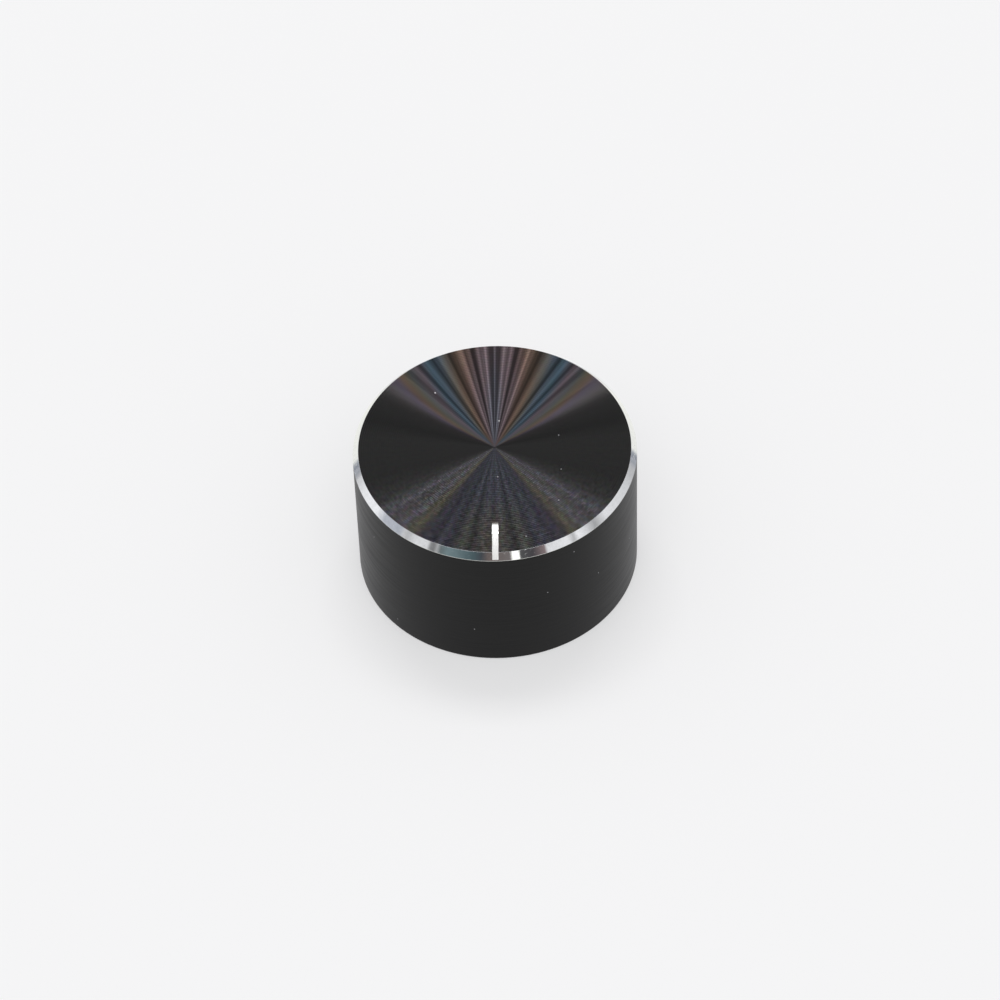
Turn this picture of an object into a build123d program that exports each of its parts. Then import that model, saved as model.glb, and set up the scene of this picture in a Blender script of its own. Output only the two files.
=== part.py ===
"""Control knob for a 6 mm round potentiometer shaft.

A black anodised aluminium shell, turned from bar, is closed at the top by a flat face
with a bright bevel round its edge and a bright milled pointer line. A ribbed moulded
core is bonded into the shell, a knurled brass bush is moulded into the core's hub, and
a grub screw in the bush clamps the shaft. The key reaches the screw through a hole in
the side wall, on the side away from the pointer.

The knob stands mouth down. The origin is the centre of its bottom rim, +Z runs up the
shaft axis, the pointer lies along -Y and the screw along +Y.
"""

import os
from math import asin, degrees, radians, sqrt, tan

from build123d import *

# Shell, in millimetres
knob_diameter = 30.0
knob_height = 17.0
bevel_width = 0.6  # measured along the radius
bevel_height = 0.7
shell_wall = 1.2
shell_roof = 1.6
shell_corner = 0.4  # left by the boring tool where the wall meets the roof
rim_break = 0.15  # the bottom edge is only just broken
mouth_chamfer = 0.3

# Pointer line, cut through the anodising by a thin disc that leaves a curved inner end
pointer_width = 0.65
pointer_length = 4.7  # from the rim towards the centre
pointer_depth = 0.6  # the floor comes out just above the bevel's lower edge
pointer_disc_radius = 3.0

# Moulded core
bond_gap = 0.05  # radial room for the adhesive
core_setback = 0.6  # the skirt stops this far inside the mouth
core_skirt = 1.2
core_web = 1.4  # plate that lies against the shell's roof
core_chamfer = 0.6  # clears the shell's inside corner
nut_recess_depth = 4.5  # from the knob's rim to the hub, over the fixing nut
hub_wall = 1.2
rib_count = 5
rib_thickness = 1.0
boss_wall = 1.2  # beside the screw's passage
pocket_corner = 0.5  # chamfer at the bottom of each pocket
draft_angle = 1.0  # degrees

# Brass bush
shaft_diameter = 6.0
shaft_clearance = 0.04  # radial
bush_wall = 2.15  # from the bore to the knurl's crests
bush_length = 9.0
bore_chamfer = 0.4
knurl_count = 24
knurl_depth = 0.3
retaining_groove_width = 1.2
retaining_groove_depth = 0.3  # below the knurl's roots
retaining_groove_height = 7.0  # above the bush's lower end
moulding_gap = 0.02

# Grub screw and its passage
screw_diameter = 3.0
screw_length = 4.0
screw_height = 8.0  # above the knob's rim
screw_standoff = 0.15  # the point is backed off this far from the bore
screw_clearance = 0.03  # radial
screw_end_chamfer = 0.35
socket_across_flats = 1.5
socket_depth = 1.3
cup_diameter = 1.4
cup_depth = 0.5
passage_clearance = 0.2  # radial, round the screw
key_hole_chamfer = 0.2

# Derived radii
knob_radius = knob_diameter / 2
face_radius = knob_radius - bevel_width
shell_bore_radius = knob_radius - shell_wall
core_radius = shell_bore_radius - bond_gap
skirt_radius = core_radius - core_skirt
bore_radius = shaft_diameter / 2 + shaft_clearance
crest_radius = bore_radius + bush_wall
root_radius = crest_radius - knurl_depth
groove_radius = root_radius - retaining_groove_depth
hub_radius = crest_radius + hub_wall
screw_hole_radius = screw_diameter / 2
passage_radius = screw_hole_radius + passage_clearance
boss_width = 2 * (passage_radius + boss_wall)

# Derived heights and places
roof_z = knob_height - shell_roof
web_z = roof_z - core_web
groove_z = nut_recess_depth + retaining_groove_height
pocket_depth = web_z - nut_recess_depth
screw_tip = bore_radius + screw_standoff
screw_head = screw_tip + screw_length
disc_z = knob_height - pointer_depth + pointer_disc_radius
disc_run = sqrt(pointer_depth * (2 * pointer_disc_radius - pointer_depth))
disc_start = knob_radius - pointer_length + disc_run
disc_travel = pointer_length + pointer_disc_radius

# The ribs share out evenly what the screw boss leaves of the ring
rib_circle_radius = (hub_radius + skirt_radius) / 2
rib_length = skirt_radius - hub_radius + min(hub_wall, core_skirt)
boss_half_angle = degrees(asin(boss_width / 2 / rib_circle_radius))
rib_half_angle = degrees(asin(rib_thickness / 2 / rib_circle_radius))
open_angle = 360 - 2 * boss_half_angle - 2 * rib_count * rib_half_angle
rib_pitch = open_angle / (rib_count + 1) + 2 * rib_half_angle
first_rib_angle = 90 + boss_half_angle + rib_pitch - rib_half_angle

# The screw's axis, pointing out of the knob away from the pointer
screw_plane = Plane(origin=(0, 0, screw_height), x_dir=(1, 0, 0), z_dir=(0, 1, 0))


def draft_run(height):
    """How far a moulded wall leans in over that height."""
    return height * tan(radians(draft_angle))


def knurled_blank(gap):
    """The bush before it is bored, grown by gap on its knurl and groove."""
    crest, root, groove = crest_radius + gap, root_radius + gap, groove_radius + gap
    half_tooth = 180 / knurl_count
    with BuildPart() as blank:
        with BuildSketch(Plane.XY.offset(nut_recess_depth)):
            with BuildLine():
                teeth = []
                for tooth in range(knurl_count):
                    angle = tooth * 2 * half_tooth
                    teeth.append(Vector(crest, 0).rotate(Axis.Z, angle))
                    teeth.append(Vector(root, 0).rotate(Axis.Z, angle + half_tooth))
                Polyline(*teeth, close=True)
            make_face()
        extrude(amount=bush_length)
        with BuildSketch(Plane.XY.offset(groove_z + gap)):
            Circle(crest + knurl_depth)
            Circle(groove, mode=Mode.SUBTRACT)
        extrude(amount=retaining_groove_width - 2 * gap, mode=Mode.SUBTRACT)
    return blank.part


# Shell: a turned cup, bored from below, with the bevel, pointer and key hole cut last
with BuildPart() as shell:
    with BuildSketch(Plane.XZ):
        with BuildLine():
            Polyline(
                (0, knob_height),
                (face_radius, knob_height),
                (knob_radius, knob_height - bevel_height),
                (knob_radius, 0),
                (shell_bore_radius, 0),
                (shell_bore_radius, roof_z),
                (0, roof_z),
                close=True,
            )
        make_face()
    revolve(axis=Axis.Z)
    circles = shell.edges().filter_by(GeomType.CIRCLE)
    rim_edges = circles.group_by(Axis.Z)[0].sort_by(SortBy.RADIUS)
    roof_edges = circles.filter_by_position(Axis.Z, roof_z - 0.01, roof_z + 0.01)
    fillet(roof_edges, radius=shell_corner)
    chamfer(rim_edges[0], length=mouth_chamfer)
    outer_rim = shell.edges().filter_by(GeomType.CIRCLE).group_by(Axis.Z)[0].sort_by(SortBy.RADIUS)[-1]
    chamfer(outer_rim, length=rim_break)
    with BuildSketch(Plane.YZ):
        with Locations((-disc_start - disc_travel / 2, disc_z)):
            SlotCenterToCenter(disc_travel, 2 * pointer_disc_radius)
    extrude(amount=pointer_width / 2, both=True, mode=Mode.SUBTRACT)
    with BuildSketch(screw_plane.offset(shell_bore_radius - shell_wall)):
        Circle(passage_radius)
    extrude(amount=3 * shell_wall, mode=Mode.SUBTRACT)
    key_hole_edges = shell.edges(Select.LAST).group_by(Axis.Y)[-1]
    chamfer(key_hole_edges, length=key_hole_chamfer)
shell.part.label = "shell"

# Core: a drafted moulding, with a recess over the fixing nut and pockets between the ribs
bush_seat = knurled_blank(moulding_gap)
with BuildPart() as core:
    with BuildSketch(Plane.XZ):
        with BuildLine():
            Polyline(
                (0, nut_recess_depth),
                (hub_radius, nut_recess_depth),
                (hub_radius + draft_run(pocket_depth), web_z),
                (skirt_radius - draft_run(web_z - core_setback), web_z),
                (skirt_radius, core_setback),
                (core_radius, core_setback),
                (core_radius, roof_z - core_chamfer),
                (core_radius - core_chamfer, roof_z),
                (0, roof_z),
                close=True,
            )
        make_face()
    revolve(axis=Axis.Z)
    web_edges = core.edges().filter_by_position(Axis.Z, web_z - 0.01, web_z + 0.01)
    chamfer(web_edges, length=pocket_corner)
    with BuildSketch(Plane.XY.offset(nut_recess_depth)):
        with Locations((0, rib_circle_radius)):
            Rectangle(boss_width, rib_length)
        with PolarLocations(
            rib_circle_radius, rib_count, first_rib_angle, rib_pitch * (rib_count - 1), endpoint=True
        ):
            Rectangle(rib_length, rib_thickness)
    extrude(amount=pocket_depth + core_web / 2, taper=-draft_angle)
    add(bush_seat, mode=Mode.SUBTRACT)
    with BuildSketch(screw_plane.offset(root_radius - bush_wall / 2)):
        Circle(passage_radius)
    extrude(amount=core_radius, mode=Mode.SUBTRACT)
core.part.label = "core"

# Bush: a knurled brass sleeve, bored for the shaft and tapped for the screw
with BuildPart() as bush:
    add(knurled_blank(0))
    with BuildSketch(Plane.XY.offset(nut_recess_depth)):
        Circle(bore_radius)
    extrude(amount=bush_length, mode=Mode.SUBTRACT)
    bore_mouth = bush.edges().group_by(Axis.Z)[0].filter_by(GeomType.CIRCLE)
    chamfer(bore_mouth, length=bore_chamfer)
    with BuildSketch(screw_plane):
        Circle(screw_hole_radius)
    extrude(amount=crest_radius + knurl_depth, mode=Mode.SUBTRACT)
bush.part.label = "bush"

# Grub screw: a cup point at the shaft end and a hexagon socket at the key end
with BuildPart() as grub_screw:
    with BuildSketch(screw_plane.offset(screw_tip)):
        Circle(screw_hole_radius - screw_clearance)
    extrude(amount=screw_length)
    chamfer(grub_screw.edges().filter_by(GeomType.CIRCLE), length=screw_end_chamfer)
    with Locations(screw_plane.offset(screw_tip)):
        Cone(
            cup_diameter / 2,
            0.01,
            cup_depth,
            align=(Align.CENTER, Align.CENTER, Align.MIN),
            mode=Mode.SUBTRACT,
        )
    with BuildSketch(screw_plane.offset(screw_head)):
        RegularPolygon(socket_across_flats / 2, 6, major_radius=False)
    extrude(amount=-socket_depth, mode=Mode.SUBTRACT)
grub_screw.part.label = "grub_screw"

os.makedirs("parts", exist_ok=True)
for piece in (shell, core, bush, grub_screw):
    export_step(piece.part, f"parts/{piece.part.label}.step")
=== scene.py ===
"""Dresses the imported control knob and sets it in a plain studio.

The knob stands mouth down with its bottom rim on the floor. The pointer line lies along
-Y and the grub screw along +Y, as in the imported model. All lengths are in metres.
"""

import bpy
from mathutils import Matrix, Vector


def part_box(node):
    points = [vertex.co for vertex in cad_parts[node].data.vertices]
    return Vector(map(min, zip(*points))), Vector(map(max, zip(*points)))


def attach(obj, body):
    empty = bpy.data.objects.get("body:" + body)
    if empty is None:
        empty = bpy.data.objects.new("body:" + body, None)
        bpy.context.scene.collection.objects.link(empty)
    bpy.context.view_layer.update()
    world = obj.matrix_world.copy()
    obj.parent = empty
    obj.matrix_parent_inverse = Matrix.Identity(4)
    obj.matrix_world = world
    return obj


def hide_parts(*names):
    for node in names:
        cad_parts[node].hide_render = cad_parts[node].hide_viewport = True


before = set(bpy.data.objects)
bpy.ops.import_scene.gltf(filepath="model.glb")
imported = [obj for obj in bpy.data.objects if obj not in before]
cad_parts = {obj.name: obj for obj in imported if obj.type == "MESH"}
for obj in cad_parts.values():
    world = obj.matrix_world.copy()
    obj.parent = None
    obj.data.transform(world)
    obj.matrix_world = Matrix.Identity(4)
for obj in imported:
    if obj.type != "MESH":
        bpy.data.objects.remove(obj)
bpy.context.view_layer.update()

from math import cos, pi, radians, sin, sqrt

import bmesh
import bpy
from bpy.props import FloatProperty, FloatVectorProperty, IntProperty, PointerProperty
from mathutils import Matrix, Vector

bl_info = {
    "name": "Control Knob",
    "version": (1, 0, 0),
    "blender": (4, 5, 0),
    "location": "3D View > Sidebar > Knob",
    "description": "Builds a spun aluminium control knob and its studio",
    "category": "Add Mesh",
}

MM = 0.001
FULL_TURN = 2 * pi
SHELL_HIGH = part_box("shell")[1]
SCREW_LOW, SCREW_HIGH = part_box("grub_screw")


def length(name, description, default):
    """A length in metres, shown in the user's own unit."""
    return FloatProperty(name=name, description=description, default=default, min=0.0, unit="LENGTH")


def angle(name, description, degrees):
    """An angle, shown in degrees."""
    return FloatProperty(name=name, description=description, default=radians(degrees), subtype="ANGLE")


def number(name, description, default):
    """A plain number."""
    return FloatProperty(name=name, description=description, default=default, min=0.0)


def colour(name, description, default):
    """A linear colour with a swatch."""
    return FloatVectorProperty(
        name=name, description=description, default=default, size=3, min=0.0, max=1.0, subtype="COLOR"
    )


class KnobShellSizes(bpy.types.PropertyGroup):
    """Sizes of the turned shell."""

    diameter: length("Diameter", "Outside diameter of the side wall", 2 * SHELL_HIGH.x)
    height: length("Height", "From the bottom rim to the face", SHELL_HIGH.z)
    bevel_width: length("Bevel width", "Bright bevel, along the radius", 0.6 * MM)
    bevel_height: length("Bevel height", "Bright bevel, down the side", 0.7 * MM)
    bevel_edge: length("Bevel edge", "Rounded lower edge of the bevel", 0.022 * MM)
    upper_edge: FloatProperty(
        name="Upper edge",
        description="Width of the bevel's upper edge, as a share of the lower one's",
        default=0.35,
        min=0.0,
        max=1.0,
        subtype="FACTOR",
    )
    wall: length("Wall", "Thickness of the side wall", 1.2 * MM)
    roof: length("Roof", "Thickness under the face", 1.6 * MM)
    inside_corner: length("Inside corner", "Radius between wall and roof", 0.4 * MM)
    mouth_chamfer: length("Mouth chamfer", "At the inner edge of the mouth", 0.3 * MM)
    rim_break: length("Rim break", "At the outer edge of the bottom rim", 0.15 * MM)
    groove_pitch: length("Groove pitch", "From one spun groove to the next", 0.235 * MM)
    groove_depth: length("Groove depth", "Of the spun grooves in the face", 0.031 * MM)
    groove_lean: FloatProperty(
        name="Groove lean",
        description="Share of each groove's width on its rounded, outward facing side",
        default=0.35,
        min=0.05,
        max=0.95,
        subtype="FACTOR",
    )
    steps: IntProperty(name="Steps", description="Steps in a full turn", default=256, min=32)


class KnobPointerSizes(bpy.types.PropertyGroup):
    """Sizes of the pointer line and the key hole."""

    width: length("Pointer width", "Across the pointer line", 0.65 * MM)
    reach: length("Pointer length", "From the rim towards the centre", 4.7 * MM)
    depth: length("Pointer depth", "Below the face", 0.6 * MM)
    disc_radius: length("Disc radius", "Of the disc that cut the line", 1.5 * MM)
    key_hole_diameter: length("Key hole", "Diameter of the hole for the key", 3.4 * MM)
    key_hole_height: length("Key hole height", "Above the bottom rim", (SCREW_LOW.z + SCREW_HIGH.z) / 2)
    key_hole_chamfer: length("Key hole chamfer", "At its outer edge", 0.2 * MM)


class KnobScrewSizes(bpy.types.PropertyGroup):
    """Sizes of the grub screw."""

    diameter: length("Screw diameter", "Over the thread's crests", SCREW_HIGH.z - SCREW_LOW.z)
    tip: length("Tip", "Of the point, from the shaft axis", SCREW_LOW.y)
    cup_diameter: length("Cup diameter", "Of the hollow in the point", 1.4 * MM)
    cup_depth: length("Cup depth", "Of the hollow in the point", 0.4 * MM)
    head: length("Head", "Of the socket end, from the shaft axis", SCREW_HIGH.y)
    pitch: length("Pitch", "Of the thread", 0.5 * MM)
    thread_depth: length("Thread depth", "From crest to root", 0.27 * MM)
    run_out: length("Run-out", "Height of the thread's first and last turn over the root", 0.1 * MM)
    across_flats: length("Across flats", "Of the hexagon socket", 1.5 * MM)
    socket_depth: length("Socket depth", "Of the hexagon socket", 1.3 * MM)


class KnobColours(bpy.types.PropertyGroup):
    """Colours of the finishes."""

    anodised: colour("Anodised side", "Black anodised side wall", (0.003, 0.003, 0.003))
    face: colour("Spun face", "Black anodised face, seen as metal", (0.025, 0.025, 0.025))
    bare: colour("Bare metal", "Bevel", (0.84, 0.85, 0.875))
    milled: colour("Milled metal", "Pointer line", (0.77, 0.765, 0.755))
    moulding: colour("Moulding", "Black moulded core", (0.018, 0.018, 0.019))
    brass: colour("Brass", "Knurled bush", (0.72, 0.47, 0.18))
    black_steel: colour("Black steel", "Grub screw", (0.07, 0.07, 0.075))
    floor: colour("Floor", "Pale studio floor", (0.92, 0.92, 0.925))


class KnobStudio(bpy.types.PropertyGroup):
    """Camera and light."""

    camera_distance: length("Camera distance", "From the middle of the knob", 455.25 * MM)
    camera_elevation: angle("Camera elevation", "Above the floor", 49.65)
    camera_azimuth: angle("Camera azimuth", "From the pointer's side", 1.35)
    camera_roll: angle("Camera roll", "Turn about the line of sight", 2.17)
    lens: number("Lens", "Focal length in mm on a 36 mm frame", 153.4)
    softbox: number("Softbox", "Brightness of the softbox behind", 6.0)
    fill: number("Fill", "Brightness of the softbox in front", 1.5)
    ambient: number("Ambient", "Brightness of the white room", 0.55)


GROUPS = {
    "knob_shell": KnobShellSizes,
    "knob_pointer": KnobPointerSizes,
    "knob_screw": KnobScrewSizes,
    "knob_colours": KnobColours,
    "knob_studio": KnobStudio,
}


def rgba(rgb):
    return (*rgb, 1.0)


def grey(level):
    return (level, level, level, 1.0)


class Nodes:
    """A node tree, with short ways to add and join nodes."""

    def __init__(self, tree):
        self.tree = tree

    def add(self, kind, **settings):
        node = self.tree.nodes.new("ShaderNode" + kind)
        for key, value in settings.items():
            setattr(node, key, value)
        return node

    def feed(self, socket, value):
        """Links an output, or sets a plain value."""
        if isinstance(value, bpy.types.NodeSocket):
            self.tree.links.new(value, socket)
        else:
            socket.default_value = value

    def place(self):
        """The point being shaded, in the object's own coordinates."""
        return self.add("TexCoord").outputs["Object"]

    def math(self, operation, *values):
        node = self.add("Math", operation=operation)
        for socket, value in zip(node.inputs, values):
            self.feed(socket, value)
        return node.outputs[0]

    def noise(self, vector, scale, detail=3.0, roughness=0.5, output="Fac"):
        node = self.add("TexNoise", noise_dimensions="3D")
        self.feed(node.inputs["Vector"], vector)
        node.inputs["Scale"].default_value = scale
        node.inputs["Detail"].default_value = detail
        node.inputs["Roughness"].default_value = roughness
        return node.outputs[output]

    def noise_along(self, value, scale, detail=3.0):
        node = self.add("TexNoise", noise_dimensions="1D")
        self.feed(node.inputs["W"], value)
        node.inputs["Scale"].default_value = scale
        node.inputs["Detail"].default_value = detail
        return node.outputs["Fac"]

    def stretch(self, vector, scale):
        node = self.add("Mapping")
        self.feed(node.inputs["Vector"], vector)
        node.inputs["Scale"].default_value = scale
        return node.outputs["Vector"]

    def remap(self, value, low, high, new_low, new_high):
        node = self.add("MapRange")
        for name, setting in (("Value", value), ("From Min", low), ("From Max", high)):
            self.feed(node.inputs[name], setting)
        node.inputs["To Min"].default_value = new_low
        node.inputs["To Max"].default_value = new_high
        return node.outputs["Result"]

    def spread(self, noise, contrast):
        """A noise round a half, as a factor round one."""
        return self.math("MULTIPLY_ADD", self.math("SUBTRACT", noise, 0.5), contrast, 1.0)

    def split(self, vector):
        node = self.add("SeparateXYZ")
        self.feed(node.inputs[0], vector)
        return node.outputs

    def join(self, x, y):
        node = self.add("CombineXYZ")
        self.feed(node.inputs[0], x)
        self.feed(node.inputs[1], y)
        return node.outputs[0]

    def span(self, vector):
        node = self.add("VectorMath", operation="LENGTH")
        self.feed(node.inputs[0], vector)
        return node.outputs["Value"]

    def mix(self, factor, first, second, blend="MIX"):
        node = self.add("Mix", data_type="RGBA", blend_type=blend)
        self.feed(node.inputs[0], factor)
        self.feed(node.inputs[6], first)
        self.feed(node.inputs[7], second)
        return node.outputs[2]

    def times(self, first, *others):
        """Colours multiplied together."""
        for other in others:
            first = self.mix(1.0, first, other, "MULTIPLY")
        return first

    def ramp(self, value, stops, top=90.0):
        """A colour ramp from nought to top, through stops of a place and a colour or level.

        A stop can't be lighter than one, so each holds half of its colour.
        """
        node = self.add("ValToRGB")
        self.feed(node.inputs["Fac"], self.math("DIVIDE", value, top))
        elements = node.color_ramp.elements
        while len(elements) > 1:
            elements.remove(elements[-1])
        for index, (place, level) in enumerate(stops):
            rgb = level if isinstance(level, tuple) else (level, level, level)
            stop = elements[0] if index == 0 else elements.new(place / top)
            stop.position = place / top
            stop.color = rgba(channel / 2 for channel in rgb)
        return self.times(node.outputs["Color"], grey(2.0))


class MaterialNodes(Nodes):
    """The node tree of a new material, with its shader."""

    def __init__(self, name):
        self.material = bpy.data.materials.new(name)
        self.material.use_nodes = True
        super().__init__(self.material.node_tree)
        self.shader = self.tree.nodes["Principled BSDF"]

    def set(self, name, value):
        self.feed(self.shader.inputs[name], value)

    def bump(self, height, strength, distance):
        node = self.add("Bump")
        self.feed(node.inputs["Height"], height)
        node.inputs["Strength"].default_value = strength
        node.inputs["Distance"].default_value = distance
        self.set("Normal", node.outputs["Normal"])


# Painted highlights: radial streaks of reflected light on the spun face, by degrees from the mirror line:
# how light each is. These and the tints below were typed in to fit levels measured on the photograph.
BACK_HIGHLIGHT_STREAKS = (
    (0.0, 0.65), (0.8, 0.2), (2.3, 0.2), (3.3, 0.5), (4.1, 1.2), (5.0, 0.58), (6.5, 0.45), (7.5, 0.9),
    (8.5, 0.35), (9.3, 0.14), (10.5, 0.14), (11.6, 0.6), (13.2, 0.3), (15.0, 0.98), (17.2, 0.45),
    (20.4, 0.13), (22.5, 0.44), (24.6, 0.76), (26.5, 0.47), (28.7, 0.14), (32.2, 0.66), (35.2, 0.16),
    (37.8, 0.66), (40.5, 0.26), (43.0, 0.5), (46.5, 0.62), (49.0, 0.5), (53.0, 0.72), (57.0, 0.78),
    (65.0, 0.8), (73.0, 0.68), (83.0, 0.97),
)
FRONT_HIGHLIGHT_STREAKS = (
    (0.0, 0.8), (4.5, 1.2), (7.0, 0.94), (10.0, 0.56), (13.5, 1.2), (18.5, 0.68), (22.5, 1.08),
    (26.5, 0.76), (29.0, 1.02), (31.7, 0.85), (36.0, 1.85), (38.0, 1.55), (41.0, 2.3), (46.0, 1.75),
    (48.0, 1.85), (51.0, 2.6), (55.0, 1.9), (58.0, 1.42), (66.0, 1.08), (72.0, 0.95), (90.0, 0.98),
)
# Their painted interference colours: the back ones drift outwards, so they read bearing plus a share of
# radius
BACK_HIGHLIGHT_TINTS = (
    (9.0, (0.98, 0.98, 1.2)), (14.0, (1.2, 0.93, 1.05)), (21.0, (1.25, 0.92, 1.0)),
    (26.0, (1.38, 0.91, 0.77)), (31.0, (1.33, 0.93, 0.7)), (36.0, (1.0, 1.0, 0.94)),
    (39.0, (0.8, 1.02, 1.3)), (44.0, (0.65, 1.06, 1.42)), (49.0, (1.18, 0.93, 1.1)),
    (53.5, (0.95, 1.0, 1.06)), (55.5, (1.08, 1.0, 0.76)), (58.0, (1.34, 0.93, 0.7)),
    (61.0, (1.1, 0.95, 1.26)), (66.0, (1.05, 0.98, 1.0)), (75.0, (1.0, 1.0, 1.0)),
)
FRONT_HIGHLIGHT_TINTS = (
    (0.0, (1.1, 0.99, 0.9)), (10.0, (1.0, 1.0, 1.0)), (14.0, (1.0, 1.02, 0.92)),
    (20.0, (0.97, 0.95, 1.24)), (30.0, (1.02, 0.95, 1.25)), (35.0, (1.1, 1.0, 0.8)),
    (38.0, (1.05, 1.0, 0.85)), (41.0, (1.0, 0.98, 1.12)), (46.0, (1.03, 0.98, 1.0)),
    (51.0, (1.0, 0.97, 1.15)), (58.0, (1.0, 1.0, 1.0)),
)
# Painted tint of the reflected light near the centre, in front
FRONT_CENTRE_HIGHLIGHT_TINT = (0.89, 0.92, 1.15)
HIGHLIGHT_TINT_DRIFT = 13.5  # degrees from the centre to the rim
ARC_WIDTH = 0.3 * MM  # of the short arcs along the grooves
ARCS_PER_RADIAN = 20.0
DUST_SPACING = 3.2 * MM
FACE_DUST = (0.22, 0.22, 0.23)
SIDE_DUST = (0.35, 0.35, 0.37)
RING_SPACING = 0.12 * MM  # of the turning rings on the bush


def polar(nodes, place):
    """Distance from the shaft axis, and the angle round it from +Y towards +X."""
    x, y = nodes.split(place)[:2]
    squares = nodes.math("ADD", nodes.math("MULTIPLY", x, x), nodes.math("MULTIPLY", y, y))
    return nodes.math("SQRT", squares), nodes.math("ARCTAN2", x, y)


def face_bearing(nodes, around):
    """Degrees from the line that the streaks mirror about.

    It lies a little to the right of the back, and more so for the outer streaks.
    """
    degrees = nodes.math("MULTIPLY", around, 180 / pi)
    mirror_line = nodes.remap(nodes.math("ABSOLUTE", degrees), 19.0, 25.0, 0.3, 1.05)
    return nodes.math("ABSOLUTE", nodes.math("SUBTRACT", degrees, mirror_line))


def face_highlight_streaks(nodes, span, bearing):
    """Painted highlights: radial streaks of reflected light and their interference colours, as factors round
    one.
    """
    reach = nodes.math("DIVIDE", span, SHELL_HIGH.x)
    from_front = nodes.math("SUBTRACT", 180.0, bearing)
    in_front = nodes.math("GREATER_THAN", bearing, 90.0)
    light = nodes.mix(in_front, nodes.ramp(bearing, BACK_HIGHLIGHT_STREAKS), nodes.ramp(from_front, FRONT_HIGHLIGHT_STREAKS))
    near_centre = nodes.math(
        "MULTIPLY", nodes.remap(reach, 0.45, 0.72, 1.0, 0.0), nodes.remap(from_front, 24.0, 32.0, 1.0, 0.0)
    )
    back_highlight_tint = nodes.ramp(nodes.math("MULTIPLY_ADD", reach, HIGHLIGHT_TINT_DRIFT, bearing), BACK_HIGHLIGHT_TINTS)
    front_highlight_tint = nodes.mix(near_centre, nodes.ramp(from_front, FRONT_HIGHLIGHT_TINTS), rgba(FRONT_CENTRE_HIGHLIGHT_TINT))
    return nodes.times(nodes.mix(in_front, back_highlight_tint, front_highlight_tint), light)


def grain_and_painted_glints(nodes, span, around, bearing):
    """Groove grain, partly painted glints: hair lines strongest at the back, short coloured arcs strongest
    in front.
    """
    hairs = nodes.spread(nodes.noise_along(around, 50.0), nodes.remap(bearing, 50.0, 62.0, 1.0, 0.15))
    along_grooves = nodes.join(
        nodes.math("MULTIPLY", span, 1 / ARC_WIDTH), nodes.math("MULTIPLY", around, ARCS_PER_RADIAN)
    )
    contrast = nodes.remap(bearing, 105.0, 130.0, 0.2, 1.8)
    arcs = nodes.spread(nodes.noise(along_grooves, 1.0, 1.0), contrast)
    colours = nodes.noise(nodes.stretch(along_grooves, (0.45, 1.6, 1.0)), 1.0, 2.0, output="Color")
    fringes = nodes.mix(nodes.remap(bearing, 100.0, 130.0, 0.1, 0.38), grey(0.5), colours)
    return nodes.times(hairs, arcs, nodes.times(fringes, grey(2.0)))


def spun_face(colours):
    """Black anodised face, with painted highlights: radial streaks of reflected light and their interference
    colours.
    """
    nodes = MaterialNodes("spun_face")
    place = nodes.place()
    span, around = polar(nodes, place)
    bearing = face_bearing(nodes, around)
    # Painted highlights: streaks and glints of reflected light, multiplied into the face's black
    streaks = face_highlight_streaks(nodes, span, bearing)
    face_with_highlights = nodes.times(streaks, rgba(colours.face), grain_and_painted_glints(nodes, span, around, bearing))
    dust = dust_specks(nodes, place, 0.1 * MM, 0.2)
    nodes.set("Base Color", nodes.mix(dust, face_with_highlights, rgba(FACE_DUST)))
    nodes.set("Metallic", nodes.math("SUBTRACT", 1.0, dust))
    nodes.set("Roughness", 0.1)
    return nodes.material


def dust_specks(nodes, place, size, share):
    """One where a speck of dust lies, and nought elsewhere.

    That share of the flat cells round a place holds a speck.
    """
    cells = nodes.add("TexVoronoi", feature="F1", voronoi_dimensions="2D")
    nodes.feed(cells.inputs["Vector"], place)
    cells.inputs["Scale"].default_value = 1 / DUST_SPACING
    chosen = nodes.add("SeparateColor")
    nodes.feed(chosen.inputs[0], cells.outputs["Color"])
    edge = size / DUST_SPACING
    near = nodes.remap(cells.outputs["Distance"], 0.5 * edge, edge, 1.0, 0.0)
    return nodes.math("MULTIPLY", near, nodes.math("LESS_THAN", chosen.outputs[0], share))


def anodised_side(colours):
    """Black anodised wall with fine turning lines round it and a few specks of dust."""
    nodes = MaterialNodes("anodised_side")
    place = nodes.place()
    lines = nodes.noise(nodes.stretch(place, (30.0, 30.0, 5200.0)), 1.0, 3.0, 0.7)
    dashes = nodes.noise(nodes.stretch(place, (260.0, 260.0, 4200.0)), 1.0, 2.0)
    both = nodes.math("MULTIPLY_ADD", dashes, 0.7, lines)
    turned = nodes.times(rgba(colours.anodised), nodes.remap(both, 0.6, 1.1, 0.35, 1.9))
    x, y, z = nodes.split(place)
    along = nodes.math("MULTIPLY", nodes.math("ARCTAN2", x, y), SHELL_HIGH.x)
    dust = dust_specks(nodes, nodes.join(along, z), 0.08 * MM, 0.09)
    nodes.set("Base Color", nodes.mix(dust, turned, rgba(SIDE_DUST)))
    nodes.set("Roughness", nodes.remap(both, 0.6, 1.1, 0.3, 0.42))
    nodes.set("Specular IOR Level", 0.2)
    nodes.bump(both, 0.25, 0.02 * MM)
    return nodes.material


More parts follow.
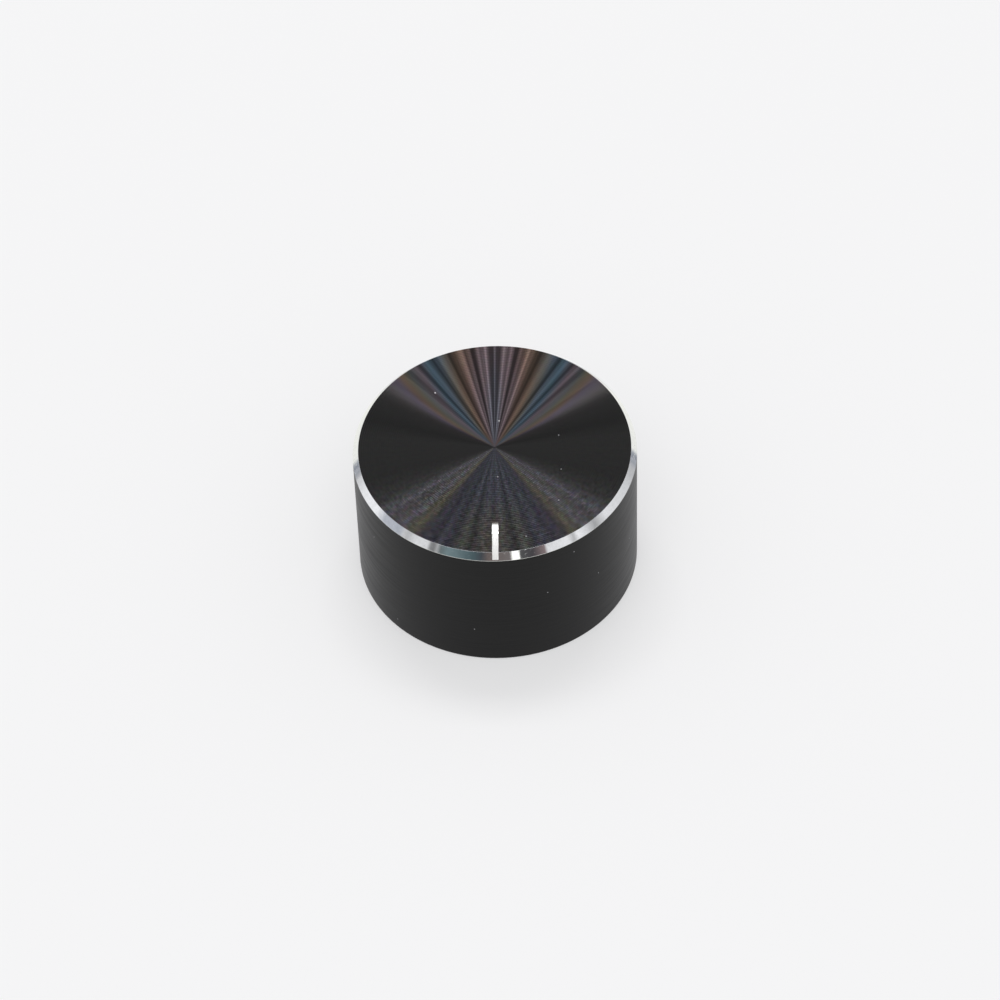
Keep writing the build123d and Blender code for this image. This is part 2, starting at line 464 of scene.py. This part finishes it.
def bare_metal(colours):
    """Aluminium cut bright, with faint tool lines, smudges and scratches."""
    nodes = MaterialNodes("bare_metal")
    place = nodes.place()
    lines = nodes.noise(nodes.stretch(place, (300.0, 300.0, 20000.0)), 1.0, 2.0)
    smudge = nodes.noise(place, 2500.0, 5.0, 0.7)
    nodes.set("Base Color", nodes.times(rgba(colours.bare), nodes.remap(smudge, 0.3, 0.7, 0.9, 1.03)))
    nodes.set("Metallic", 1.0)
    scratches = nodes.remap(nodes.noise(place, 4000.0, 2.0), 0.62, 0.74, 0.0, 0.22)
    nodes.set("Roughness", nodes.math("ADD", nodes.remap(lines, 0.3, 0.7, 0.02, 0.05), scratches))
    nodes.bump(lines, 0.05, 0.01 * MM)
    return nodes.material


def milled_metal(colours):
    """Aluminium left by the cutting disc, a little duller than the bevel."""
    nodes = MaterialNodes("milled_metal")
    lines = nodes.noise(nodes.stretch(nodes.place(), (16000.0, 300.0, 300.0)), 1.0, 2.0)
    nodes.set("Base Color", nodes.times(rgba(colours.milled), nodes.remap(lines, 0.3, 0.7, 0.9, 1.05)))
    nodes.set("Metallic", 1.0)
    nodes.set("Roughness", nodes.remap(lines, 0.3, 0.7, 0.14, 0.18))
    nodes.bump(lines, 0.25, 0.02 * MM)
    return nodes.material


def moulded_black(colours):
    """Black moulded plastic with a fine spark eroded grain."""
    nodes = MaterialNodes("moulded_black")
    place = nodes.place()
    grain = nodes.noise(place, 9000.0, 2.0)
    cloud = nodes.noise(place, 250.0, 3.0)
    nodes.set("Base Color", nodes.times(rgba(colours.moulding), nodes.remap(cloud, 0.3, 0.7, 0.8, 1.2)))
    nodes.set("Roughness", nodes.remap(grain, 0.3, 0.7, 0.5, 0.68))
    nodes.bump(grain, 0.3, 0.02 * MM)
    return nodes.material


def turned_brass(colours):
    """Brass with turning rings on its end and a few darker clouds."""
    nodes = MaterialNodes("turned_brass")
    place = nodes.place()
    span = nodes.span(nodes.stretch(place, (1.0, 1.0, 0.0)))
    rings = nodes.math("SINE", nodes.math("MULTIPLY", span, FULL_TURN / RING_SPACING))
    cloud = nodes.noise(place, 400.0, 4.0)
    nodes.set("Base Color", nodes.times(rgba(colours.brass), nodes.remap(cloud, 0.3, 0.7, 0.72, 1.0)))
    nodes.set("Metallic", 1.0)
    nodes.set("Roughness", nodes.remap(cloud, 0.3, 0.7, 0.34, 0.22))
    nodes.bump(rings, 0.25, 0.01 * MM)
    return nodes.material


def blackened_steel(colours):
    """Black oxide on steel, rubbed a little along the edges of the grain."""
    nodes = MaterialNodes("blackened_steel")
    place = nodes.place()
    wear = nodes.noise(place, 2500.0, 4.0)
    rubbed = nodes.remap(wear, 0.62, 0.75, 0.0, 0.5)
    nodes.set("Base Color", nodes.mix(rubbed, rgba(colours.black_steel), grey(0.3)))
    nodes.set("Metallic", 0.9)
    nodes.set("Roughness", nodes.remap(wear, 0.3, 0.7, 0.3, 0.45))
    nodes.bump(wear, 0.2, 0.01 * MM)
    return nodes.material


def lathe(bm, outline, steps):
    """Spins an outline of (radius, height) points right round Z."""
    points = [bm.verts.new((radius, 0.0, height)) for radius, height in outline]
    lines = [bm.edges.new(pair) for pair in zip(points, points[1:])]
    bmesh.ops.spin(
        bm,
        geom=points + lines,
        cent=(0.0, 0.0, 0.0),
        axis=(0.0, 0.0, 1.0),
        angle=FULL_TURN,
        steps=steps,
        use_merge=True,
    )
    bmesh.ops.remove_doubles(bm, verts=bm.verts, dist=1e-8)
    bmesh.ops.recalc_face_normals(bm, faces=bm.faces)


def new_piece(name, bm, slot, *materials):
    """Writes a bmesh to an object at the origin that rides on the knob."""
    mesh = bpy.data.meshes.new(name)
    bm.to_mesh(mesh)
    bm.free()
    for material in materials:
        mesh.materials.append(material)
    piece = bpy.data.objects.new(name, mesh)
    bpy.context.scene.collection.objects.link(piece)
    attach(piece, "root")
    return piece


def cut_away(piece, cutter_bm, material):
    """Cuts a closed shape out of a piece, and gives the cut faces that material."""
    mesh = bpy.data.meshes.new("cutter")
    cutter_bm.to_mesh(mesh)
    cutter_bm.free()
    mesh.materials.append(material)
    cutter = bpy.data.objects.new("cutter", mesh)
    bpy.context.scene.collection.objects.link(cutter)
    modifier = piece.modifiers.new("cut", "BOOLEAN")
    modifier.operation = "DIFFERENCE"
    modifier.solver = "EXACT"
    modifier.material_mode = "TRANSFER"
    modifier.object = cutter
    bpy.context.view_layer.update()
    evaluated = piece.evaluated_get(bpy.context.evaluated_depsgraph_get())
    cut_mesh = bpy.data.meshes.new_from_object(evaluated)
    if len(cut_mesh.polygons) in (0, len(piece.data.polygons)):
        raise RuntimeError(f"the cut in {piece.name} failed")
    piece.modifiers.remove(modifier)
    old_mesh = piece.data
    piece.data = cut_mesh
    cut_mesh.name = piece.name
    bpy.data.meshes.remove(old_mesh)
    bpy.data.objects.remove(cutter)
    bpy.data.meshes.remove(mesh)


HOLLOW_PLACE = 0.6  # of a groove's outward side, from the valley to the bottom of its hollow
HOLLOW_DEPTH = 0.8  # of the groove's depth, there


def face_radius(shell):
    """Of the spun face, inside the bevel and its upper edge."""
    return shell.diameter / 2 - shell.bevel_width - shell.upper_edge * shell.bevel_edge


def face_grooves(shell):
    """The spun grooves, from the rim of the face to its centre.

    Each has a long flat side that leans towards the centre, and a short hollow one that
    leans outwards.
    """
    count = round(face_radius(shell) / shell.groove_pitch)
    pitch = face_radius(shell) / count
    outward_side = shell.groove_lean * pitch
    valley_height = shell.height - shell.groove_depth
    hollow_height = shell.height - HOLLOW_DEPTH * shell.groove_depth
    outline = []
    for groove in range(count, 0, -1):
        crest = groove * pitch
        valley = crest - pitch + outward_side
        outline.append((crest, shell.height))
        outline.append((valley, valley_height))
        outline.append((valley - HOLLOW_PLACE * outward_side, hollow_height))
    outline[-1] = (0.0, hollow_height)
    return outline


def shell_outline(shell):
    """The shell's section, from the roof inside, round the rim, to the centre of the face."""
    radius = shell.diameter / 2
    bore = radius - shell.wall
    roof = shell.height - shell.roof
    corner = shell.inside_corner
    outline = [(0.0, roof)]
    for step in range(11):
        turn = step / 10 * pi / 2
        outline.append((bore - corner + corner * sin(turn), roof - corner + corner * cos(turn)))
    # The bevel's edges are each rounded by one narrow facet
    edge = shell.bevel_edge
    bevel_low = shell.height - shell.bevel_height
    outline += [
        (bore, shell.mouth_chamfer),
        (bore + shell.mouth_chamfer, 0.0),
        (radius - shell.rim_break, 0.0),
        (radius, shell.rim_break),
        (radius, bevel_low - edge),
        (radius - 0.3 * edge, bevel_low + 0.4 * edge),
        (radius - shell.bevel_width + 0.12 * edge, shell.height - 0.14 * edge),
    ]
    return outline + face_grooves(shell)


def pointer_cutter(shell, pointer):
    """The sweep of the thin disc that cut the pointer line."""
    run = sqrt(pointer.depth * (2 * pointer.disc_radius - pointer.depth))
    start = shell.diameter / 2 - pointer.reach + run
    centre_z = shell.height - pointer.depth + pointer.disc_radius
    bm = bmesh.new()
    bmesh.ops.create_circle(bm, cap_ends=True, segments=96, radius=pointer.disc_radius)
    upright = Matrix.Rotation(pi / 2, 4, "Y")
    to_place = Matrix.Translation((-pointer.width / 2, -start, centre_z)) @ upright
    bmesh.ops.transform(bm, matrix=to_place, verts=bm.verts)
    outer = [v for v in bm.verts if v.co.y < -start]
    bmesh.ops.translate(bm, vec=(0.0, -2 * pointer.reach, 0.0), verts=outer)
    grown = bmesh.ops.extrude_face_region(bm, geom=bm.faces[:])
    moved = [v for v in grown["geom"] if isinstance(v, bmesh.types.BMVert)]
    bmesh.ops.translate(bm, vec=(pointer.width, 0.0, 0.0), verts=moved)
    bmesh.ops.recalc_face_normals(bm, faces=bm.faces)
    return bm


def screw_axis(pointer):
    """Turns what was spun round Z to lie along the screw's axis, out of the knob's back."""
    return Matrix.Translation((0.0, 0.0, pointer.key_hole_height)) @ Matrix.Rotation(-pi / 2, 4, "X")


def key_hole_cutter(shell, pointer):
    """A rod with a flared end, for the key hole and its chamfer."""
    radius = pointer.key_hole_diameter / 2
    inner_end = shell.diameter / 2 - 2 * shell.wall
    chamfer_start = shell.diameter / 2 - pointer.key_hole_chamfer
    flare = 2 * pointer.key_hole_chamfer
    outline = [
        (0.0, inner_end),
        (radius, inner_end),
        (radius, chamfer_start),
        (radius + flare, chamfer_start + flare),
        (0.0, chamfer_start + flare),
    ]
    bm = bmesh.new()
    lathe(bm, outline, 64)
    bmesh.ops.transform(bm, matrix=screw_axis(pointer), verts=bm.verts)
    return bm


def mark_edges(piece, shell):
    """Sharpens real corners, and leaves the hollow side of each spun groove smooth."""
    bm = bmesh.new()
    bm.from_mesh(piece.data)
    for face in bm.faces:
        face.smooth = True
    # Of the grooves' points, only those in the hollows lie between these two heights
    top = shell.height - 0.1 * shell.groove_depth
    bottom = shell.height - 0.9 * shell.groove_depth
    rim = face_radius(shell)
    for edge in bm.edges:
        in_hollow = all(bottom < v.co.z < top and v.co.xy.length < rim for v in edge.verts)
        one_finish = len({face.material_index for face in edge.link_faces}) == 1
        edge.smooth = (one_finish and in_hollow) or edge.calc_face_angle(0.0) < radians(10)
    bm.to_mesh(piece.data)
    bm.free()


class KNOB_OT_add_shell(bpy.types.Operator):
    """Spin the shell, cut its pointer line and key hole, and finish it"""

    bl_idname = "knob.add_shell"
    bl_label = "Shell"

    def execute(self, context):
        shell = context.scene.knob_shell
        pointer = context.scene.knob_pointer
        colours = context.scene.knob_colours
        bm = bmesh.new()
        lathe(bm, shell_outline(shell), shell.steps)
        side_top = shell.height - shell.bevel_height - shell.bevel_edge
        rim = face_radius(shell)
        # Slot 0 is the side, slot 1 the bare bevel and slot 2 the spun face
        for face in bm.faces:
            centre = face.calc_center_median()
            if centre.z > side_top:
                face.material_index = 1 if centre.xy.length > rim else 2
        side = anodised_side(colours)
        piece = new_piece("turned_shell", bm, "shell", side, bare_metal(colours), spun_face(colours))
        cut_away(piece, pointer_cutter(shell, pointer), milled_metal(colours))
        cut_away(piece, key_hole_cutter(shell, pointer), side)
        mark_edges(piece, shell)
        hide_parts("shell")
        return {"FINISHED"}


def dress(node, material):
    """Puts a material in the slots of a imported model's piece."""
    if not node.material_slots:
        raise RuntimeError(f"{node.name} has no material slot")
    for slot in node.material_slots:
        slot.material = material


class KNOB_OT_finish_core(bpy.types.Operator):
    """Give the moulded core its black plastic"""

    bl_idname = "knob.finish_core"
    bl_label = "Core"

    def execute(self, context):
        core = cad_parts["core"]
        dress(core, moulded_black(context.scene.knob_colours))
        return {"FINISHED"}


class KNOB_OT_finish_bush(bpy.types.Operator):
    """Give the bush its turned brass"""

    bl_idname = "knob.finish_bush"
    bl_label = "Bush"

    def execute(self, context):
        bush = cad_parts["bush"]
        dress(bush, turned_brass(context.scene.knob_colours))
        return {"FINISHED"}


def screw_outline(screw):
    """The screw's section, from the cup in its point to the middle of its head."""
    crest = screw.diameter / 2
    root = crest - screw.thread_depth
    turns = int((screw.head - screw.tip) / screw.pitch)
    outline = [(0.0, screw.tip + screw.cup_depth), (screw.cup_diameter / 2, screw.tip), (root, screw.tip)]
    for turn in range(turns):
        low = screw.tip + turn * screw.pitch
        if turn:
            outline.append((root, low))
        outline.append((crest if 0 < turn < turns - 1 else root + screw.run_out, low + 0.5 * screw.pitch))
    return outline + [(root, screw.head), (0.0, screw.head)]


class KNOB_OT_add_grub_screw(bpy.types.Operator):
    """Model the grub screw with its thread, cup point and hexagon socket"""

    bl_idname = "knob.add_grub_screw"
    bl_label = "Grub screw"

    def execute(self, context):
        screw = context.scene.knob_screw
        to_place = screw_axis(context.scene.knob_pointer)
        bm = bmesh.new()
        lathe(bm, screw_outline(screw), 48)
        bmesh.ops.transform(bm, matrix=to_place, verts=bm.verts)
        steel = blackened_steel(context.scene.knob_colours)
        piece = new_piece("threaded_grub_screw", bm, "grub_screw", steel)
        socket = bmesh.new()
        corner = screw.across_flats / 2 / cos(pi / 6)
        depth = 2 * screw.socket_depth
        bmesh.ops.create_cone(socket, cap_ends=True, segments=6, radius1=corner, radius2=corner, depth=depth)
        bmesh.ops.translate(socket, vec=(0.0, 0.0, screw.head), verts=socket.verts)
        bmesh.ops.transform(socket, matrix=to_place, verts=socket.verts)
        cut_away(piece, socket, steel)
        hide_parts("grub_screw")
        return {"FINISHED"}


CAMERA_SHIFT = (0.00343, -0.00073)  # of the frame's width


def add_camera(studio, middle):
    """Sets the camera on the photograph's line of sight."""
    rise, bearing, roll = studio.camera_elevation, studio.camera_azimuth, studio.camera_roll
    away = Vector((cos(rise) * sin(bearing), -cos(rise) * cos(bearing), sin(rise)))
    right = Vector((cos(bearing), sin(bearing), 0.0))
    up = away.cross(right)
    rolled_right = right * cos(roll) - up * sin(roll)
    rolled_up = up * cos(roll) + right * sin(roll)
    axes = Matrix((rolled_right, rolled_up, away)).transposed().to_4x4()
    data = bpy.data.cameras.new("camera")
    data.lens = studio.lens
    data.sensor_width = 36.0
    data.shift_x, data.shift_y = CAMERA_SHIFT
    data.clip_start = 0.01
    camera = bpy.data.objects.new("camera", data)
    camera.matrix_world = Matrix.Translation(middle + away * studio.camera_distance) @ axes
    bpy.context.scene.collection.objects.link(camera)
    bpy.context.scene.camera = camera


# Painted reflection: the floor's glow to glossy rays only, by metres from the knob: white near it, and
# grey farther out, with no shadow in it. The levels were typed in to fit the bevel in the photograph.
PAPER_PAINTED_REFLECTION = (
    (0.03, (0.7, 0.7, 0.71)), (0.045, (1.0, 1.0, 0.93)), (0.158, (0.98, 0.98, 0.92)),
    (0.2, (0.42, 0.44, 0.47)), (0.26, (0.27, 0.29, 0.33)), (0.33, (0.44, 0.45, 0.49)),
    (0.5, (0.38, 0.4, 0.43)), (1.0, (0.5, 0.5, 0.52)),
)
PAPER_GLOW = (0.945, 0.945, 0.955)  # seen by the camera, over the lit floor
PAPER_GLOW_SHARE = 0.46
FLOOR_HALF = 3.0  # metres


def floor_paper(colours):
    """White paper that glows a little to the camera, and to metal glows a painted reflection of the
    photograph's floor.
    """
    nodes = MaterialNodes("floor_paper")
    nodes.set("Base Color", rgba(colours.floor))
    nodes.set("Roughness", 0.9)
    nodes.set("Specular IOR Level", 0.0)
    # Painted reflection: glossy rays see this glow instead of the lit paper and its shadow
    painted_reflection = nodes.ramp(nodes.span(nodes.place()), PAPER_PAINTED_REFLECTION, 1.0)
    light_path = nodes.add("LightPath")
    in_metal = light_path.outputs["Is Glossy Ray"]
    glow = nodes.add("Emission")
    nodes.feed(glow.inputs["Color"], nodes.mix(in_metal, rgba(PAPER_GLOW), painted_reflection))
    by_camera = nodes.math("MULTIPLY", light_path.outputs["Is Camera Ray"], PAPER_GLOW_SHARE)
    share = nodes.add("MixShader")
    nodes.feed(share.inputs[0], nodes.math("MAXIMUM", by_camera, in_metal))
    nodes.feed(share.inputs[1], nodes.shader.outputs[0])
    nodes.feed(share.inputs[2], glow.outputs[0])
    nodes.feed(nodes.tree.nodes["Material Output"].inputs["Surface"], share.outputs[0])
    return nodes.material


def add_floor(colours):
    """A wide pale floor. It keeps the knob's shadow, which the paper's glow makes lighter."""
    bm = bmesh.new()
    bmesh.ops.create_grid(bm, x_segments=1, y_segments=1, size=FLOOR_HALF)
    mesh = bpy.data.meshes.new("floor")
    bm.to_mesh(mesh)
    bm.free()
    mesh.materials.append(floor_paper(colours))
    floor = bpy.data.objects.new("floor", mesh)
    bpy.context.scene.collection.objects.link(floor)


def add_softbox(name, place, width, depth, yaw, radiance):
    """A softbox tipped towards the knob and turned by yaw, equally bright all over."""
    place = Vector(place)
    data = bpy.data.lights.new(name, "AREA")
    data.shape = "RECTANGLE"
    data.size = width
    data.size_y = depth
    data.energy = radiance * pi * width * depth
    lamp = bpy.data.objects.new(name, data)
    tip = Vector((0.0, place.y, place.z)).to_track_quat("Z", "Y")
    turned = Matrix.Rotation(yaw, 4, "Z") @ tip.to_matrix().to_4x4()
    lamp.matrix_world = Matrix.Translation(place) @ turned
    bpy.context.scene.collection.objects.link(lamp)


# What metal mirrors low down in front: degrees from the left end of the cards, and how bright. Most
# levels are what the bevel in the photograph would need there, as a scratch script worked them out.
CARDS_HALF_SPAN = 120.0  # degrees each side of the front
CARDS_TOP = 38.0  # degrees above the floor
FRONT_CARDS = (
    (4.0, 0.7), (14.0, 0.95), (28.0, 1.02), (36.0, (0.53, 0.55, 0.6)), (49.0, (0.49, 0.52, 0.57)),
    (52.0, 0.66), (55.0, 0.54), (61.0, 0.8), (70.0, 0.8), (72.0, 0.3), (74.5, 0.22), (77.0, 0.45),
    (79.5, (0.16, 0.19, 0.19)), (85.0, (0.19, 0.26, 0.27)), (103.0, (0.08, 0.12, 0.13)),
    (109.0, (0.07, 0.08, 0.09)), (114.0, (0.16, 0.13, 0.12)), (130.2, (0.19, 0.17, 0.165)),
    (130.8, (1.4, 1.4, 1.3)), (136.2, (1.4, 1.4, 1.3)), (136.8, 0.1), (146.0, (0.07, 0.065, 0.07)),
    (154.8, (0.26, 0.2, 0.2)), (156.3, 0.81), (172.0, 0.92), (176.5, 0.52), (179.5, 0.97),
    (185.5, 0.8), (193.5, 0.42), (203.0, 0.87), (224.0, 0.76), (235.0, 0.57),
)
OVERHEAD_RISE = 72.0  # degrees, above which metal sees a brighter ceiling
OVERHEAD = 1.5
WALLS = 0.92  # as seen by the camera and by metal
AMBIENT_LEAN = -0.12  # the room lights the knob less from behind than from in front


def add_room(studio):
    """A white room. Metal sees it near white, with grey and pale cards low down in front."""
    world = bpy.data.worlds.new("room")
    world.use_nodes = True
    world.node_tree.nodes.clear()
    nodes = Nodes(world.node_tree)
    light_path = nodes.add("LightPath")
    in_metal = light_path.outputs["Is Glossy Ray"]
    x, y, z = nodes.split(nodes.add("TexCoord").outputs["Generated"])
    from_front = nodes.math("ARCTAN2", x, nodes.math("MULTIPLY", y, -1.0))
    bearing = nodes.math("MULTIPLY", from_front, 180 / pi)
    rise = nodes.math("MULTIPLY", nodes.math("ARCSINE", z), 180 / pi)

    seen = in_metal
    for way in ("Is Camera Ray", "Is Transmission Ray"):
        seen = nodes.math("MAXIMUM", seen, light_path.outputs[way])
    room = nodes.mix(seen, nodes.math("MULTIPLY_ADD", y, AMBIENT_LEAN, studio.ambient), grey(WALLS))
    overhead = nodes.math("MULTIPLY", nodes.math("GREATER_THAN", rise, OVERHEAD_RISE), in_metal)
    room = nodes.mix(overhead, room, grey(OVERHEAD))

    low = nodes.math("LESS_THAN", rise, CARDS_TOP)
    in_front = nodes.math("LESS_THAN", nodes.math("ABSOLUTE", bearing), CARDS_HALF_SPAN)
    on_cards = nodes.math("MULTIPLY", nodes.math("MULTIPLY", low, in_front), in_metal)
    from_left = nodes.math("ADD", bearing, CARDS_HALF_SPAN)
    cards = nodes.ramp(from_left, FRONT_CARDS, 2 * CARDS_HALF_SPAN)
    background = nodes.add("Background")
    nodes.feed(background.inputs["Color"], nodes.mix(on_cards, room, cards))
    nodes.feed(nodes.add("OutputWorld").inputs[0], background.outputs[0])
    bpy.context.scene.world = world


class KNOB_OT_add_stage(bpy.types.Operator):
    """Set up the floor, the light and the camera"""

    bl_idname = "knob.add_stage"
    bl_label = "Stage"

    def execute(self, context):
        studio = context.scene.knob_studio
        add_floor(context.scene.knob_colours)
        add_softbox(
            "softbox_behind",
            place=(-0.045, 0.768, 1.847),
            width=1.11,
            depth=0.505,
            yaw=radians(-4),
            radiance=studio.softbox,
        )
        add_softbox(
            "softbox_in_front",
            place=(0.0, -0.72, 1.866),
            width=1.5,
            depth=1.3,
            yaw=0.0,
            radiance=studio.fill,
        )
        add_room(studio)
        add_camera(studio, Vector((0.0, 0.0, context.scene.knob_shell.height / 2)))
        context.scene.view_settings.view_transform = "Standard"
        return {"FINISHED"}


STEPS = (
    KNOB_OT_add_stage,
    KNOB_OT_add_shell,
    KNOB_OT_finish_core,
    KNOB_OT_finish_bush,
    KNOB_OT_add_grub_screw,
)


class VIEW3D_PT_control_knob(bpy.types.Panel):
    """Lists the knob's sizes, colours and steps."""

    bl_label = "Control Knob"
    bl_space_type = "VIEW_3D"
    bl_region_type = "UI"
    bl_category = "Knob"

    def draw(self, context):
        layout = self.layout
        for group_name in GROUPS:
            group = getattr(context.scene, group_name)
            box = layout.box()
            for name in group.__annotations__:
                box.prop(group, name)
        for step in STEPS:
            layout.operator(step.bl_idname)


def register():
    for group_name, group in GROUPS.items():
        bpy.utils.register_class(group)
        setattr(bpy.types.Scene, group_name, PointerProperty(type=group))
    for step in STEPS:
        bpy.utils.register_class(step)
    bpy.utils.register_class(VIEW3D_PT_control_knob)


def unregister():
    bpy.utils.unregister_class(VIEW3D_PT_control_knob)
    for step in reversed(STEPS):
        bpy.utils.unregister_class(step)
    for group_name, group in reversed(GROUPS.items()):
        delattr(bpy.types.Scene, group_name)
        bpy.utils.unregister_class(group)


def main():
    register()
    bpy.ops.knob.add_stage()
    bpy.ops.knob.add_shell()
    bpy.ops.knob.finish_core()
    bpy.ops.knob.finish_bush()
    bpy.ops.knob.add_grub_screw()


if __name__ == "__main__":
    main()
